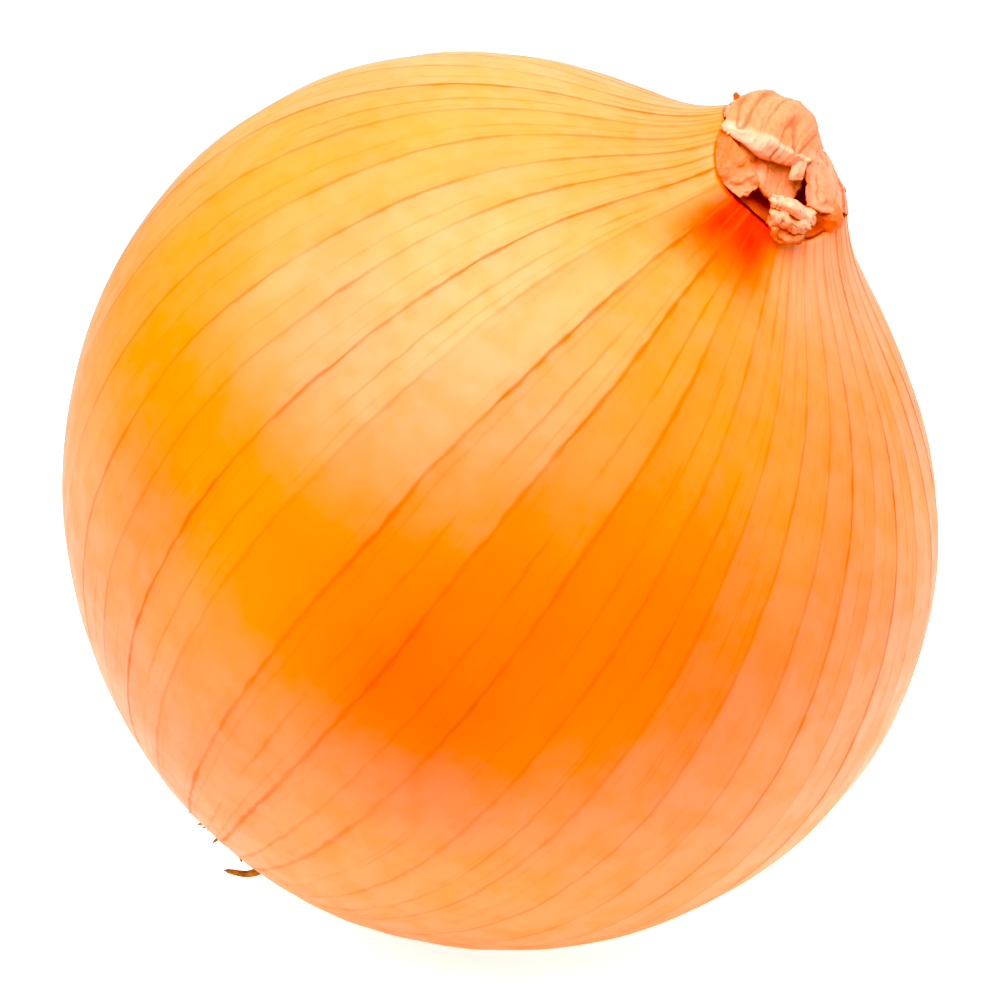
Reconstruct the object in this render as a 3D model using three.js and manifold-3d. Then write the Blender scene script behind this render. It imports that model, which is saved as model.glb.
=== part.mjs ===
// A yellow onion lying on its side: the ribbed bulb, its dry neck, the leaf ends in it, and the roots.
// Millimetres and degrees. +Z is up, and the origin is on the surface that the onion lies on, in the
// small flat spot under the bulb. Each piece is shaped upright about its own axis, with the root at
// the bottom and the neck at the top, and the whole onion is then leaned towards +X.
import * as THREE from 'three';
import { mergeVertices } from 'three/addons/utils/BufferGeometryUtils.js';
import Module from 'manifold-3d';

// How it lies.
const LEAN = 38;
const CENTRE_HEIGHT = 38.75;

// The bulb's outline, as a distance from its centre that changes with the angle from the root: a
// mean, three waves (one, two and three to a turn), and the rise into the neck.
const MEAN_RADIUS = 38.6;
const WAVES = [0.61, -1.31, 0.485];
const NECK_RISE = 3.25;
const NECK_RISE_ANGLE = 168;
const NECK_RUN = 7.2;
// The bulb is a little fuller above its middle on one side and below it on the other.
const SKEW = 0.025;
const SKEW_SIDE = -56;

// The ribs are the skin's veins. Their spacing swings round the bulb: [cycles, degrees, phase].
const RIBS = 39;
const FIRST_RIB = 182.5;
const RIB_SWINGS = [[2, 2.9, -57], [4, 2.5, 24], [6, 0.5, -42]];
const COLUMNS_PER_RIB = 3;
const RIB_BOW = 7;
const RIB_BOW_FROM = 40;
const RIB_BOW_TO = 130;
const RIB_HEIGHT_ROOT = 0.05;
const RIB_HEIGHT_MIDDLE = 0.12;
const RIB_HEIGHT_NECK = 0.22;
const RIB_MIDDLE_FROM = 30;
const RIB_MIDDLE_TO = 110;
const RIB_NECK_FROM = 135;
const RIB_NECK_TO = 166;

// Bulb mesh rows, closer together at both ends.
const BULB_ROWS = 30;
const ROW_CROWDING = 0.3;

// The hollow that the root plate sits in.
const ROOT_DIMPLE = 0.8;
const ROOT_DIMPLE_INNER = 4;
const ROOT_DIMPLE_OUTER = 9;

// The collar is where the bulb's skin ends and the dry neck begins. It dips at the front.
const FRONT = 256;
const COLLAR_ANGLE = 170;
const COLLAR_DIP = 5;
const COLLAR_DIP_SIDE = 263;
const COLLAR_DIP_INNER = 12;
const COLLAR_DIP_OUTER = 75;
const DISH_HEIGHT = 37;
const SEAT_GAP = 0.4;

// The dry neck: a crumpled cap folded over from the back, with a ledge in front of the fold.
const NECK_COLUMNS = 60;
const NECK_SEAT_SHARES = [0.35, 0.7];
const NECK_WALL_ROWS = 3;
const NECK_TOP_ROWS = 14;
const NECK_LIP = 0.15;
const NECK_TAPER = 0.4;
const NECK_RIM = 0.7;
const NECK_RIM_SWING = 0.35;
const NECK_RIM_HIGH_SIDE = 100;
// The rim's crumple and the top's pleats are waves.
const CRUMPLE_WAVES = [[3, 0.22, 40], [8, 0.14, 15]];
const NECK_PLEAT = 0.14;
const NECK_PLEATS_PER_MM = 0.42;
const NECK_PLEAT_SLANT = 0.22;
// The fold is highest at the back, falls to both sides, droops forwards and ends in a wavy step.
const NECK_HEIGHT = 3.7;
const NECK_LOW_SIDE_HEIGHT = 0.3;
const NECK_LOW_SIDE_FROM = -2;
const NECK_LOW_SIDE_TO = 3;
const NECK_HIGH_SIDE_HEIGHT = 2;
const NECK_HIGH_SIDE_FROM = 3;
const NECK_HIGH_SIDE_TO = 7.5;
const FOLD_DROOP = 0.5;
const FOLD_DROOP_FROM = -2.5;
const FOLD_FRONT = 4.4;
const FOLD_LOW_SIDE_FRONT = 6.2;
const FOLD_LOW_SIDE_FROM = 1.2;
const FOLD_LOW_SIDE_TO = 3.2;
const FOLD_STEP = 1.6;
const FOLD_WAVE = 0.3;
const FOLD_WAVE_TURN = 1.3;
const FOLD_WAVE_PHASE = 0.6;
const FOLD_SHOULDER_POWER = 9;
const FOLD_OVERHANG = 0.2;
const LEDGE_FLOOR = 0.75;
const RIM_RISE_POWER = 3;

// The curled ends of the inner leaves, on the ledge. Places are [to the low side, to the front, up].
const SHRED_THICKNESS = 0.7;
const SHRED_STEPS = 14;
const SHREDS = [
  {
    width: 1.4,
    path: [[0.5, 8.2, 38.6], [1.4, 8.6, 39.1], [2.8, 8.8, 39.2], [4.1, 8.4, 39.1], [4.9, 8.0, 38.9]],
  },
  {
    width: 1.3,
    path: [[1.3, 8.9, 38.7], [2.1, 9.3, 38.7], [3.4, 9.4, 38.7], [4.7, 8.7, 38.8], [5.5, 7.8, 39.0]],
  },
  {
    width: 1.2,
    path: [[2.6, 8.5, 38.7], [3.7, 8.4, 39.1], [4.8, 7.9, 39.4], [5.5, 7.3, 39.3], [5.9, 7.0, 39.1]],
  },
];

// The root plate and its rootlets.
const PLATE_ANGLE = 6.6;
const PLATE_GAP = 0.32;
const PLATE_THICKNESS = 1.3;
const PLATE_COLUMNS = 40;
const PLATE_RAGGED_WAVES = [[5, 0.06, 0], [11, 0.04, 70]];
// The plate's rings, from the middle of its outer face round its rim to the middle of its inner face:
// [share of the plate's angle, share of its thickness].
const PLATE_RINGS = [[0.35, 1.01], [0.7, 0.96], [0.92, 0.93], [1, 0.62], [0.96, 0], [0.6, 0], [0.3, 0]];
const PLATE_MIDDLE = 1.06;
const ROOTLETS = 36;
const ROOTLET_RADIUS = 0.34;
const ROOTLET_SIDES = 5;
const ROOTLET_STEPS = 5;
const ROOTLET_LENGTHS = [1.6, 2.7];
const ROOTLET_SPREAD = 3.5;
const ROOTLET_JITTER = 20;
const ROOTLET_SPLAY = 0.4;
const ROOTLET_SPLAY_JITTER = 0.25;
const ROOTLET_BEND = 0.7;
const ROOTLET_BEND_PLACE = 0.55;
const ROOTLET_SINK = 0.75;
const ROOT_SEED = 11;
const GOLDEN_ANGLE = 137.508;

// The box that cuts the bulb off below the surface it lies on.
const CUT_WIDTH = 100;
const CUT_DEPTH = 10;

const DEG = Math.PI / 180;
const { smoothstep, lerp } = THREE.MathUtils;
const cosine = (degrees) => Math.cos(degrees * DEG);
const sine = (degrees) => Math.sin(degrees * DEG);

const wasm = await Module();
wasm.setup();

// A closed body from rings of points, with a pole before the first ring and one after the last.
// The rings run anticlockwise seen from above, from the bottom of the body round to its top.
function closedBody(bottomPole, rings, topPole) {
  const columns = rings[0].length;
  const points = [bottomPole, ...rings.flat(), topPole];
  const top = points.length - 1;
  const index = [];
  const at = (ring, column) => 1 + ring * columns + (column % columns);
  for (let column = 0; column < columns; column += 1) {
    index.push(0, at(0, column + 1), at(0, column));
    for (let ring = 0; ring < rings.length - 1; ring += 1) {
      index.push(at(ring, column), at(ring, column + 1), at(ring + 1, column + 1));
      index.push(at(ring, column), at(ring + 1, column + 1), at(ring + 1, column));
    }
    index.push(at(rings.length - 1, column), at(rings.length - 1, column + 1), top);
  }
  const geometry = new THREE.BufferGeometry().setFromPoints(points);
  geometry.setIndex(index);
  return geometry;
}

function toSolid(geometry) {
  const bare = geometry.clone();
  bare.deleteAttribute('normal');
  bare.deleteAttribute('uv');
  const merged = mergeVertices(bare, 1e-5);
  const mesh = new wasm.Mesh({
    numProp: 3,
    vertProperties: new Float32Array(merged.attributes.position.array),
    triVerts: new Uint32Array(merged.index.array),
  });
  return new wasm.Manifold(mesh);
}

function toGeometry(solid) {
  const mesh = solid.getMesh();
  const geometry = new THREE.BufferGeometry();
  geometry.setAttribute('position', new THREE.BufferAttribute(mesh.vertProperties, 3));
  geometry.setIndex(new THREE.BufferAttribute(mesh.triVerts, 1));
  geometry.computeVertexNormals();
  return geometry;
}

function joined(geometries) {
  return geometries.map(toSolid).reduce((whole, piece) => whole.add(piece));
}

// Numbers between 0 and 1 that are the same in every run.
function seededRandom(seed) {
  let state = seed;
  return () => {
    state = (state * 16807) % 2147483647;
    return state / 2147483647;
  };
}

// The sum of waves given as [cycles to a turn, size, phase].
function waveSum(waves, angle) {
  return waves.reduce((sum, [cycles, size, phase]) => sum + size * sine(cycles * angle + phase), 0);
}

function polarRadius(fromRoot) {
  const waves = WAVES.reduce((sum, size, order) => sum + size * cosine((order + 1) * fromRoot), 0);
  const dimple = ROOT_DIMPLE * (1 - smoothstep(fromRoot, ROOT_DIMPLE_INNER, ROOT_DIMPLE_OUTER));
  return MEAN_RADIUS + waves - dimple + NECK_RISE * Math.exp((fromRoot - NECK_RISE_ANGLE) / NECK_RUN);
}

// A point of the skin, moved out square to the outline by the given distance.
function skinPoint(fromRoot, azimuth, out = 0) {
  const skew = 1 + SKEW * sine(2 * fromRoot) * cosine(azimuth - SKEW_SIDE);
  const radius = polarRadius(fromRoot) * skew;
  const slope = (polarRadius(fromRoot + 0.5) - polarRadius(fromRoot - 0.5)) / DEG;
  const tilt = Math.atan2(slope, radius) / DEG;
  const across = radius * sine(fromRoot) + out * sine(fromRoot - tilt);
  const up = -radius * cosine(fromRoot) - out * cosine(fromRoot - tilt);
  return new THREE.Vector3(across * cosine(azimuth), across * sine(azimuth), up);
}

function ribAzimuth(rib, fromRoot) {
  const turn = (360 * rib) / RIBS;
  const azimuth = FIRST_RIB + turn + waveSum(RIB_SWINGS, turn);
  const bow = RIB_BOW * (1 - smoothstep(fromRoot, RIB_BOW_FROM, RIB_BOW_TO));
  return azimuth + bow * sine(azimuth - FRONT);
}

function ribRelief(rib, fromRoot) {
  const toMiddle = smoothstep(fromRoot, RIB_MIDDLE_FROM, RIB_MIDDLE_TO);
  const toNeck = smoothstep(fromRoot, RIB_NECK_FROM, RIB_NECK_TO);
  const height = lerp(lerp(RIB_HEIGHT_ROOT, RIB_HEIGHT_MIDDLE, toMiddle), RIB_HEIGHT_NECK, toNeck);
  const crest = 0.5 + 0.5 * cosine(360 * rib);
  return height * crest * crest;
}

function collarAngle(azimuth) {
  const away = Math.acos(cosine(azimuth - COLLAR_DIP_SIDE)) / DEG;
  return COLLAR_ANGLE - COLLAR_DIP * (1 - smoothstep(away, COLLAR_DIP_INNER, COLLAR_DIP_OUTER));
}

function bulbGeometry() {
  const columns = RIBS * COLUMNS_PER_RIB;
  const rings = [];
  for (let row = 1; row <= BULB_ROWS; row += 1) {
    const share = row / BULB_ROWS;
    const eased = share - (ROW_CROWDING * Math.sin(2 * Math.PI * share)) / (2 * Math.PI);
    const ring = [];
    for (let column = 0; column < columns; column += 1) {
      const rib = column / COLUMNS_PER_RIB;
      const fromRoot = eased * collarAngle(ribAzimuth(rib, NECK_RISE_ANGLE));
      ring.push(skinPoint(fromRoot, ribAzimuth(rib, fromRoot), ribRelief(rib, fromRoot)));
    }
    rings.push(ring);
  }
  return closedBody(skinPoint(0, 0), rings, new THREE.Vector3(0, 0, DISH_HEIGHT));
}

// A point near the neck from its distance to the low side, to the front, and its height.
function neckPoint(low, front, up) {
  const x = low * cosine(FRONT + 90) + front * cosine(FRONT);
  const y = low * sine(FRONT + 90) + front * sine(FRONT);
  return new THREE.Vector3(x, y, up);
}

// Height of the folded neck above its rim, over the point (low, front) of the neck's plan.
function foldHeight(low, front, share) {
  const toHighSide = smoothstep(-low, NECK_HIGH_SIDE_FROM, NECK_HIGH_SIDE_TO);
  const toLowSide = smoothstep(low, NECK_LOW_SIDE_FROM, NECK_LOW_SIDE_TO);
  const left = lerp(NECK_HEIGHT, NECK_HIGH_SIDE_HEIGHT, toHighSide);
  const crest = lerp(left, NECK_LOW_SIDE_HEIGHT, toLowSide);
  const droop = 1 - FOLD_DROOP * smoothstep(front, FOLD_DROOP_FROM, FOLD_FRONT);
  const lowSide = smoothstep(low, FOLD_LOW_SIDE_FROM, FOLD_LOW_SIDE_TO);
  const wave = FOLD_WAVE * Math.sin(FOLD_WAVE_TURN * low + FOLD_WAVE_PHASE);
  const edge = lerp(FOLD_FRONT, FOLD_LOW_SIDE_FRONT, lowSide) + wave;
  const step = 1 - smoothstep(front, edge - FOLD_STEP / 2, edge + FOLD_STEP / 2);
  const shoulder = 1 - share ** FOLD_SHOULDER_POWER;
  const pleatTurns = NECK_PLEATS_PER_MM * (low + NECK_PLEAT_SLANT * front);
  const pleat = NECK_PLEAT * Math.sin(2 * Math.PI * pleatTurns);
  return (crest * droop + pleat) * step * shoulder;
}

function neckSheathGeometry() {
  const rings = [];
  const collar = (column) => {
    const azimuth = (360 * column) / NECK_COLUMNS;
    const edge = skinPoint(collarAngle(azimuth), azimuth);
    const crumple = waveSum(CRUMPLE_WAVES, azimuth);
    const rim = NECK_RIM + NECK_RIM_SWING * cosine(azimuth - NECK_RIM_HIGH_SIDE);
    return { azimuth, up: edge.z + SEAT_GAP, radius: Math.hypot(edge.x, edge.y), crumple, rim };
  };
  const around = (place) => Array.from({ length: NECK_COLUMNS }, (_, column) => place(collar(column)));
  const onRing = (azimuth, radius, up) => (
    new THREE.Vector3(radius * cosine(azimuth), radius * sine(azimuth), up)
  );

  const seat = DISH_HEIGHT + SEAT_GAP;
  for (const share of NECK_SEAT_SHARES) {
    rings.push(around((c) => onRing(c.azimuth, c.radius * share, lerp(seat, c.up, share))));
  }
  for (let row = 0; row < NECK_WALL_ROWS; row += 1) {
    const share = row / NECK_WALL_ROWS;
    const flare = NECK_LIP * Math.sin(Math.PI * share) - NECK_TAPER * share;
    rings.push(around((c) => {
      const radius = c.radius + flare + c.crumple * share;
      return onRing(c.azimuth, radius, c.up + c.rim * share);
    }));
  }
  for (let row = 0; row < NECK_TOP_ROWS; row += 1) {
    const share = 1 - row / NECK_TOP_ROWS;
    rings.push(around((c) => {
      const radius = (c.radius - NECK_TAPER + c.crumple) * share;
      const low = radius * cosine(c.azimuth - FRONT - 90);
      const front = radius * cosine(c.azimuth - FRONT);
      const floor = lerp(seat, c.up, share) + lerp(LEDGE_FLOOR, c.rim, share ** RIM_RISE_POWER);
      const fold = foldHeight(low, front, share);
      return neckPoint(low, front + FOLD_OVERHANG * fold, floor + fold);
    }));
  }
  const middle = foldHeight(0, 0, 0);
  const topPole = neckPoint(0, FOLD_OVERHANG * middle, seat + LEDGE_FLOOR + middle);
  return closedBody(new THREE.Vector3(0, 0, seat), rings, topPole);
}

function ribbon(width, thickness, path, steps) {
  const section = new THREE.Shape();
  section.moveTo(-thickness / 2, -width / 2);
  section.lineTo(thickness / 2, -width / 2);
  section.lineTo(thickness / 2, width / 2);
  section.lineTo(-thickness / 2, width / 2);
  section.closePath();
  return new THREE.ExtrudeGeometry(section, { steps, extrudePath: path, bevelEnabled: false });
}

function innerLeafEndsGeometry() {
  const shreds = SHREDS.map(({ width, path }) => {
    const points = path.map(([low, front, up]) => neckPoint(low, front, up));
    return ribbon(width, SHRED_THICKNESS, new THREE.CatmullRomCurve3(points), SHRED_STEPS);
  });
  return toGeometry(joined(shreds));
}

function rootPlateGeometry() {
  const ring = ([reach, depth]) => Array.from({ length: PLATE_COLUMNS }, (_, column) => {
    const azimuth = (360 * column) / PLATE_COLUMNS;
    const ragged = 1 + waveSum(PLATE_RAGGED_WAVES, azimuth);
    return skinPoint(PLATE_ANGLE * reach * ragged, azimuth, PLATE_GAP + depth * PLATE_THICKNESS);
  });
  const outerPole = skinPoint(0, 0, PLATE_GAP + PLATE_MIDDLE * PLATE_THICKNESS);
  return closedBody(outerPole, PLATE_RINGS.map(ring), skinPoint(0, 0, PLATE_GAP));
}

function rootletGeometry(number, random) {
  const reach = ROOTLET_SPREAD * Math.sqrt((number + 0.5) / ROOTLETS);
  const azimuth = GOLDEN_ANGLE * number + ROOTLET_JITTER * random();
  const start = skinPoint(0, 0, PLATE_GAP + PLATE_THICKNESS - ROOTLET_SINK);
  start.x += reach * cosine(azimuth);
  start.y += reach * sine(azimuth);
  const splay = (ROOTLET_SPLAY * reach) / ROOTLET_SPREAD + ROOTLET_SPLAY_JITTER * random();
  const length = ROOTLET_SINK + lerp(ROOTLET_LENGTHS[0], ROOTLET_LENGTHS[1], random());
  const heading = new THREE.Vector3(splay * cosine(azimuth), splay * sine(azimuth), -1);
  heading.setLength(length);
  const bendSide = 360 * random();
  const bend = new THREE.Vector3(cosine(bendSide), sine(bendSide), 0);
  bend.multiplyScalar(ROOTLET_BEND * random());
  const middle = start.clone().addScaledVector(heading, ROOTLET_BEND_PLACE).add(bend);
  const path = new THREE.QuadraticBezierCurve3(start, middle, start.clone().add(heading));
  const corner = (side) => {
    const turn = (360 * side) / ROOTLET_SIDES;
    return new THREE.Vector2(ROOTLET_RADIUS * cosine(turn), ROOTLET_RADIUS * sine(turn));
  };
  const section = new THREE.Shape(Array.from({ length: ROOTLET_SIDES }, (_, side) => corner(side)));
  const settings = { steps: ROOTLET_STEPS, extrudePath: path, bevelEnabled: false };
  return new THREE.ExtrudeGeometry(section, settings);
}

function rootTuftGeometry() {
  const random = seededRandom(ROOT_SEED);
  const rootlets = Array.from({ length: ROOTLETS }, (_, number) => rootletGeometry(number, random));
  return toGeometry(joined([rootPlateGeometry(), ...rootlets]));
}

// The leaned frame: from the upright onion to how it lies.
const pose = new THREE.Matrix4().makeRotationY(LEAN * DEG).setPosition(0, 0, CENTRE_HEIGHT);

// The bulb is cut off at the surface that it lies on.
function restingBulbGeometry() {
  const bulb = toSolid(bulbGeometry().applyMatrix4(pose));
  const below = new THREE.BoxGeometry(CUT_WIDTH, CUT_WIDTH, CUT_DEPTH).translate(0, 0, -CUT_DEPTH / 2);
  return toGeometry(bulb.subtract(toSolid(below)));
}

function piece(name, geometry, color, roughness) {
  const material = new THREE.MeshStandardMaterial({ color, roughness, metalness: 0 });
  const mesh = new THREE.Mesh(geometry, material);
  mesh.name = name;
  return mesh;
}

const onion = new THREE.Group();
onion.add(piece('bulb', restingBulbGeometry(), 0xf29a4a, 0.35));

const leaned = new THREE.Group();
leaned.applyMatrix4(pose);
leaned.add(piece('neck_sheath', neckSheathGeometry(), 0xeeb06c, 0.7));
leaned.add(piece('inner_leaf_ends', innerLeafEndsGeometry(), 0xf2c49a, 0.8));
leaned.add(piece('root_tuft', rootTuftGeometry(), 0xb08a5a, 0.9));
onion.add(leaned);

export default onion;
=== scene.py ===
"""A yellow onion lying on its side: the bulb in its veined skin, the dry neck, the leaf ends and the roots.

The file is laid out as a Blender add-on and is run as a script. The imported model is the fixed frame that
every piece is built around. Shapes are worked out in millimetres about the onion's own upright axis, with
the root at the bottom and the neck at the top, then leaned over and raised to how the onion lies.
"""

import math
import random

import bmesh
import bpy
import numpy as np
from mathutils import Matrix, Vector, noise


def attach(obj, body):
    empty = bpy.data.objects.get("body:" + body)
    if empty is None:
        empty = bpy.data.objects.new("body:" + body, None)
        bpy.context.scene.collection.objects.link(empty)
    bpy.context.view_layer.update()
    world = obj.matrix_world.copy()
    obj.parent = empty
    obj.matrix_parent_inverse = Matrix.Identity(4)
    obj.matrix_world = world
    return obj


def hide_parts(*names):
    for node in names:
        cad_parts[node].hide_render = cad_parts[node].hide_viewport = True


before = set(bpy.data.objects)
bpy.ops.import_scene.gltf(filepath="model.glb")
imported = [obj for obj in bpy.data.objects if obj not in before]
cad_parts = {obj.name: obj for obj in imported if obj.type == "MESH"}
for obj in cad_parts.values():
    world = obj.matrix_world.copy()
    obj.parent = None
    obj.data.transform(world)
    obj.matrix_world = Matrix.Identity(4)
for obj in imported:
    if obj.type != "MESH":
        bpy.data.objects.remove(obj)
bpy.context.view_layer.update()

bl_info = {
    "name": "Yellow Onion",
    "version": (1, 0, 0),
    "blender": (4, 5, 0),
    "location": "3D View > Sidebar > Onion",
    "description": "Builds a yellow onion with its skin, dry neck, leaf ends and roots",
    "category": "Add Mesh",
}

MM = 0.001

# The bulb's outline: distance from its centre by the angle from the root, in millimetres and degrees.
MEAN_RADIUS = 38.6
WAVES = (0.61, -1.31, 0.485)
NECK_RISE = 3.25
NECK_RISE_ANGLE = 168.0
NECK_RUN = 7.2
SKEW = 0.025
SKEW_SIDE = -56.0
ROOT_DIMPLE = 0.8
ROOT_DIMPLE_INNER = 4.0
ROOT_DIMPLE_OUTER = 9.0

# The ribs are the skin's veins: how many, where they start, and how their spacing swings.
RIBS = 39
FIRST_RIB = 182.5
RIB_SWINGS = ((2, 2.9, -57.0), (4, 2.5, 24.0), (6, 0.5, -42.0))
RIB_BOW = 7.0
RIB_BOW_FROM = 40.0
RIB_BOW_TO = 130.0

# The collar, where the bulb's skin ends and the dry neck begins.
FRONT = 256.0
COLLAR_ANGLE = 170.0
COLLAR_DIP = 5.0
COLLAR_DIP_SIDE = 263.0
COLLAR_DIP_INNER = 12.0
COLLAR_DIP_OUTER = 75.0
DISH_HEIGHT = 37.0


# ---- shape rules


def clamped(value):
    return np.clip(value, 0.0, 1.0)


def smoothstep(value, low, high):
    share = clamped((value - low) / (high - low))
    return share * share * (3.0 - 2.0 * share)


def cosine(degrees):
    return np.cos(np.radians(degrees))


def sine(degrees):
    return np.sin(np.radians(degrees))


def polar_radius(from_root):
    waves = sum(size * cosine((order + 1) * from_root) for order, size in enumerate(WAVES))
    dimple = ROOT_DIMPLE * (1.0 - smoothstep(from_root, ROOT_DIMPLE_INNER, ROOT_DIMPLE_OUTER))
    return MEAN_RADIUS + waves - dimple + NECK_RISE * np.exp((from_root - NECK_RISE_ANGLE) / NECK_RUN)


def skin_point(from_root, azimuth, out=0.0):
    """Points of the skin, moved out square to the outline by the given distance."""
    radius = polar_radius(from_root) * (1.0 + SKEW * sine(2.0 * from_root) * cosine(azimuth - SKEW_SIDE))
    slope = np.degrees(polar_radius(from_root + 0.5) - polar_radius(from_root - 0.5))
    tilt = np.degrees(np.arctan2(slope, radius))
    across = radius * sine(from_root) + out * sine(from_root - tilt)
    up = -radius * cosine(from_root) - out * cosine(from_root - tilt)
    return np.stack([across * cosine(azimuth), across * sine(azimuth), up], axis=-1)


def rib_azimuth(rib, from_root):
    turn = 360.0 * rib / RIBS
    swing = sum(size * sine(cycles * turn + phase) for cycles, size, phase in RIB_SWINGS)
    azimuth = FIRST_RIB + turn + swing
    bow = RIB_BOW * (1.0 - smoothstep(from_root, RIB_BOW_FROM, RIB_BOW_TO))
    return azimuth + bow * sine(azimuth - FRONT)


def collar_angle(azimuth):
    away = np.degrees(np.arccos(cosine(azimuth - COLLAR_DIP_SIDE)))
    return COLLAR_ANGLE - COLLAR_DIP * (1.0 - smoothstep(away, COLLAR_DIP_INNER, COLLAR_DIP_OUTER))


def neck_point(low, front, up):
    """Points near the neck from their distance to the low side, to the front, and up."""
    x = low * cosine(FRONT + 90.0) + front * cosine(FRONT)
    y = low * sine(FRONT + 90.0) + front * sine(FRONT)
    return np.stack([x, y, up + 0.0 * x], axis=-1)


def noise_at(points, size, seed=0.0):
    """Smooth noise from -1 to 1 at points, with lumps of about the given size."""
    shift = Vector((seed * 3.1, seed * 5.7, seed * 9.3))
    return np.array([noise.noise(Vector(point) / size + shift) for point in points])


# ---- mesh helpers


def vertex_array(mesh):
    places = np.zeros(len(mesh.vertices) * 3)
    mesh.vertices.foreach_get("co", places)
    return places.reshape(-1, 3)


def set_vertices(mesh, places):
    mesh.vertices.foreach_set("co", np.asarray(places, dtype=float).ravel())
    mesh.update()


def lying(places, shape):
    """Points of the upright onion in millimetres, leaned over and raised, in metres."""
    turn = Matrix.Rotation(shape.lean, 3, "Y")
    return places @ np.array(turn).T * MM + np.array([0.0, 0.0, shape.centre_height])


def mesh_from(bm, name):
    mesh = bpy.data.meshes.new(name)
    bm.to_mesh(mesh)
    bm.free()
    return mesh


def ball_mesh(name, columns, rows):
    """A closed ball of rings and columns, with each vertex's share of the way up and round."""
    bm = bmesh.new()
    bmesh.ops.create_grid(bm, x_segments=columns, y_segments=rows, size=1.0)
    border = [vert for vert in bm.verts if vert.is_boundary]
    for vert in bm.verts:
        turn, upward = vert.co.x * math.pi, (vert.co.y + 1.0) * math.pi / 2.0
        ring = math.sin(upward)
        vert.co = (ring * math.cos(turn), ring * math.sin(turn), -math.cos(upward))
    bmesh.ops.remove_doubles(bm, verts=border, dist=1e-5)
    mesh = mesh_from(bm, name)
    ball = vertex_array(mesh)
    upward = np.arccos(np.clip(-ball[:, 2], -1.0, 1.0)) / math.pi
    upward = np.round(upward * rows) / rows
    turn = np.arctan2(ball[:, 1], ball[:, 0]) / (2.0 * math.pi)
    turn = (np.round(turn * columns) % columns) / columns
    return mesh, upward, turn


def sheet_mesh(name, across_cells, along_cells):
    """A flat open grid, with each vertex's share across and along."""
    bm = bmesh.new()
    bmesh.ops.create_grid(bm, x_segments=across_cells, y_segments=along_cells, size=1.0)
    mesh = mesh_from(bm, name)
    grid = vertex_array(mesh)
    return mesh, (grid[:, 0] + 1.0) / 2.0, (grid[:, 1] + 1.0) / 2.0


def lay_uv(mesh, across, along, turn_length=None):
    """Writes the UV map from values at the vertices. Across starts again after turn_length."""
    corners = np.zeros(len(mesh.loops), dtype=int)
    mesh.loops.foreach_get("vertex_index", corners)
    starts = np.zeros(len(mesh.polygons), dtype=int)
    mesh.polygons.foreach_get("loop_start", starts)
    u = across[corners].astype(float)
    v = along[corners].astype(float)
    if turn_length:
        face = np.repeat(np.arange(len(starts)), np.diff(np.append(starts, len(corners))))
        pole = (v <= 1e-9) | (v >= 1.0 - 1e-9)
        highest = np.maximum.reduceat(np.where(pole, -1e9, u), starts)
        lowest = np.minimum.reduceat(np.where(pole, 1e9, u), starts)
        crossing = (highest - lowest > turn_length / 2.0)[face]
        u = np.where(crossing & (u < turn_length / 2.0), u + turn_length, u)
        total = np.add.reduceat(np.where(pole, 0.0, u), starts)
        count = np.add.reduceat(np.where(pole, 0.0, 1.0), starts)
        u = np.where(pole, (total / np.maximum(count, 1.0))[face], u)
    layer = mesh.uv_layers.new(name="leaf")
    layer.data.foreach_set("uv", np.stack([u, v], axis=1).ravel())


def set_tone(mesh, pale, deep, amber):
    """A tone at each vertex, in shares from 0 to 1: how bleached it is, how deep red and how orange. The deep
    red also carries painted shade.
    """
    layer = mesh.color_attributes.new(name="tone", type="FLOAT_COLOR", domain="POINT")
    count = len(mesh.vertices)
    channels = [np.broadcast_to(clamped(channel), count) for channel in (pale, deep, amber, 1.0)]
    layer.data.foreach_set("color", np.stack(channels, axis=1).ravel())


def joined_mesh(name, meshes, shape):
    """One mesh, lying as the onion does, from several upright ones, which are then removed."""
    bm = bmesh.new()
    for mesh in meshes:
        bm.from_mesh(mesh)
    whole = mesh_from(bm, name)
    for mesh in meshes:
        bpy.data.meshes.remove(mesh)
    set_vertices(whole, lying(vertex_array(whole), shape))
    return whole


def linked_object(name, data):
    made = bpy.data.objects.new(name, data)
    bpy.context.scene.collection.objects.link(made)
    return made


def placed_piece(name, mesh, material, node):
    """Puts a finished mesh in the scene as a smooth-shaded piece that stands for a node of the frame."""
    old = bpy.data.objects.get(name)
    if old:
        bpy.data.objects.remove(old)
    mesh.polygons.foreach_set("use_smooth", [True] * len(mesh.polygons))
    mesh.materials.append(material)
    piece = linked_object(name, mesh)
    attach(piece, "root")
    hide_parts(node)


# ---- shader helpers


# Numbers that scatter the veins' chances and lanes, and how many of its widths a line's glow reaches.
VEIN_CHANCE_STEP = 12.9898
VEIN_CHANCE_SCALE = 437.585
VEIN_LANE_STEP = 5.13
VEIN_GLOW_WIDTH = 5.0


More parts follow.
